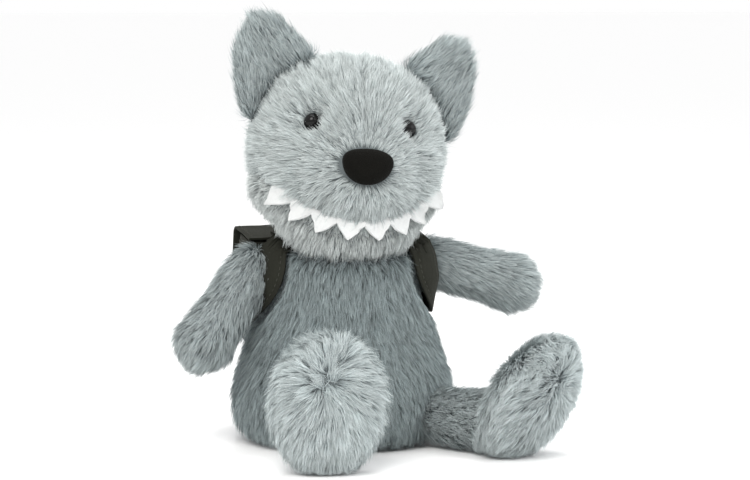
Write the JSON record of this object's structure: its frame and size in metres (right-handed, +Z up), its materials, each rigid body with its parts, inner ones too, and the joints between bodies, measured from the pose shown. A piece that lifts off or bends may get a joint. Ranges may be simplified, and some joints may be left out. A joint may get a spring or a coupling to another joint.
{
  "type": "soft toy animal",
  "caption": "Sitting long-pile plush wolf with felt teeth, bead eyes, floppy limbs and tail, wearing a small rucksack with an opening flap.",
  "frame": {"origin": "middle of the flat seat, on the plane the toy sits on", "axes": "+Z up; the face and feet point towards -Y; the toy's own left is +X"},
  "size_m": [0.2048, 0.2461, 0.2277],
  "materials": {
    "grey_pile": "matte",
    "chin_pile": "matte",
    "white_felt": "matte",
    "black_felt": "matte",
    "black_bead": "gloss",
    "clear_washer": "satin",
    "stuffing": "matte",
    "pellet_cloth": "matte",
    "charcoal_suedette": "matte",
    "dark_hook_loop": "matte",
    "dark_webbing": "matte",
    "white_tape": "matte"
  },
  "bodies": {
    "torso": {"seat_panel": "grey_pile", "torso_front_panel": "grey_pile", "torso_back_panel": "grey_pile", "torso_stuffing": "stuffing", "pellet_pouch": "pellet_cloth", "side_tag": "white_tape", "strap_left": "charcoal_suedette", "strap_right": "charcoal_suedette", "pack_bag": "charcoal_suedette", "bag_loop_patch": "dark_hook_loop", "haul_loop": "dark_webbing"},
    "neck": {"neck_plug": "stuffing"},
    "head": {"head_panel_left": "grey_pile", "head_panel_right": "grey_pile", "chin_panel": "chin_pile", "head_stuffing": "stuffing", "teeth_strip": "white_felt", "nose_patch": "black_felt", "eye_left": "black_bead", "eye_right": "black_bead", "eye_washer_left": "clear_washer", "eye_washer_right": "clear_washer"},
    "flap": {"pack_flap": "charcoal_suedette", "flap_hook_patch": "dark_hook_loop"},
    "tail_root": {"tail_gusset": "grey_pile"},
    "tail": {"tail_left_panel": "grey_pile", "tail_right_panel": "grey_pile", "tail_stuffing": "stuffing"},
    "ear_left": {"ear_front_left": "grey_pile", "ear_back_left": "grey_pile"},
    "arm_left_root": {"arm_left_gusset": "grey_pile"},
    "arm_left": {"arm_left_upper_panel": "grey_pile", "arm_left_lower_panel": "grey_pile", "arm_left_stuffing": "stuffing"},
    "leg_left_root": {"leg_left_gusset": "grey_pile"},
    "leg_left": {"leg_left_sleeve": "grey_pile", "leg_left_sole": "grey_pile", "leg_left_stuffing": "stuffing"},
    "ear_right": {"ear_front_right": "grey_pile", "ear_back_right": "grey_pile"},
    "arm_right_root": {"arm_right_gusset": "grey_pile"},
    "arm_right": {"arm_right_upper_panel": "grey_pile", "arm_right_lower_panel": "grey_pile", "arm_right_stuffing": "stuffing"},
    "leg_right_root": {"leg_right_gusset": "grey_pile"},
    "leg_right": {"leg_right_sleeve": "grey_pile", "leg_right_sole": "grey_pile", "leg_right_stuffing": "stuffing"}
  },
  "joints": [
    {"name": "head_turn", "type": "hinge", "parent": "torso", "child": "neck", "pos_m": [0, -0.006, 0.157], "axis": [0, 0, 1], "range_deg": [-18, 34], "stiffness_Nm_per_rad": 0.25},
    {"name": "head_nod", "type": "hinge", "parent": "neck", "child": "head", "pos_m": [0, -0.006, 0.157], "axis": [0.9903, -0.1392, 0], "range_deg": [-12, 5], "stiffness_Nm_per_rad": 0.6},
    {"name": "ear_left_fold", "type": "hinge", "parent": "head", "child": "ear_left", "pos_m": [0.04268, -0.01374, 0.17971], "axis": [-0.4499, -0.0658, 0.8907], "range_deg": [-25, 25], "stiffness_Nm_per_rad": 0.05},
    {"name": "ear_right_fold", "type": "hinge", "parent": "head", "child": "ear_right", "pos_m": [-0.03602, -0.00328, 0.19027], "axis": [0.6232, -0.2342, 0.7462], "range_deg": [-25, 25], "stiffness_Nm_per_rad": 0.05},
    {"name": "arm_left_swing", "type": "hinge", "parent": "torso", "child": "arm_left_root", "pos_m": [0.049, 0.002, 0.096], "axis": [1, 0, 0], "range_deg": [-30, 30], "stiffness_Nm_per_rad": 0.08},
    {"name": "arm_left_raise", "type": "hinge", "parent": "arm_left_root", "child": "arm_left", "pos_m": [0.049, 0.002, 0.096], "axis": [0, 1, 0], "range_deg": [-58, 34], "stiffness_Nm_per_rad": 0.08},
    {"name": "arm_right_swing", "type": "hinge", "parent": "torso", "child": "arm_right_root", "pos_m": [-0.049, 0.002, 0.096], "axis": [1, 0, 0], "range_deg": [-30, 30], "stiffness_Nm_per_rad": 0.08},
    {"name": "arm_right_raise", "type": "hinge", "parent": "arm_right_root", "child": "arm_right", "pos_m": [-0.049, 0.002, 0.096], "axis": [0, 1, 0], "range_deg": [-4, 92], "stiffness_Nm_per_rad": 0.08},
    {"name": "leg_left_splay", "type": "hinge", "parent": "torso", "child": "leg_left_root", "pos_m": [0.0402, -0.0432, 0.017], "axis": [0, 0, 1], "range_deg": [-12, 12], "stiffness_Nm_per_rad": 0.1},
    {"name": "leg_left_lift", "type": "hinge", "parent": "leg_left_root", "child": "leg_left", "pos_m": [0.0402, -0.0432, 0.017], "axis": [-0.866, -0.5, 0], "range_deg": [-40, 28], "stiffness_Nm_per_rad": 0.1},
    {"name": "leg_right_splay", "type": "hinge", "parent": "torso", "child": "leg_right_root", "pos_m": [-0.0334, -0.0485, 0.017], "axis": [0, 0, 1], "range_deg": [-12, 12], "stiffness_Nm_per_rad": 0.1},
    {"name": "leg_right_lift", "type": "hinge", "parent": "leg_right_root", "child": "leg_right", "pos_m": [-0.0334, -0.0485, 0.017], "axis": [-0.9798, 0.2, 0], "range_deg": [-40, 28], "stiffness_Nm_per_rad": 0.1},
    {"name": "tail_wag", "type": "hinge", "parent": "torso", "child": "tail_root", "pos_m": [0, 0.0585, 0.024], "axis": [0, 0, 1], "range_deg": [-32, 32], "stiffness_Nm_per_rad": 0.05},
    {"name": "tail_lift", "type": "hinge", "parent": "tail_root", "child": "tail", "pos_m": [0, 0.0585, 0.024], "axis": [1, 0, 0], "range_deg": [-8, 14], "stiffness_Nm_per_rad": 0.05},
    {"name": "flap_open", "type": "hinge", "parent": "torso", "child": "flap", "pos_m": [0, 0.04373, 0.10644], "axis": [1, 0, 0], "range_deg": [0, 75]}
  ]
}
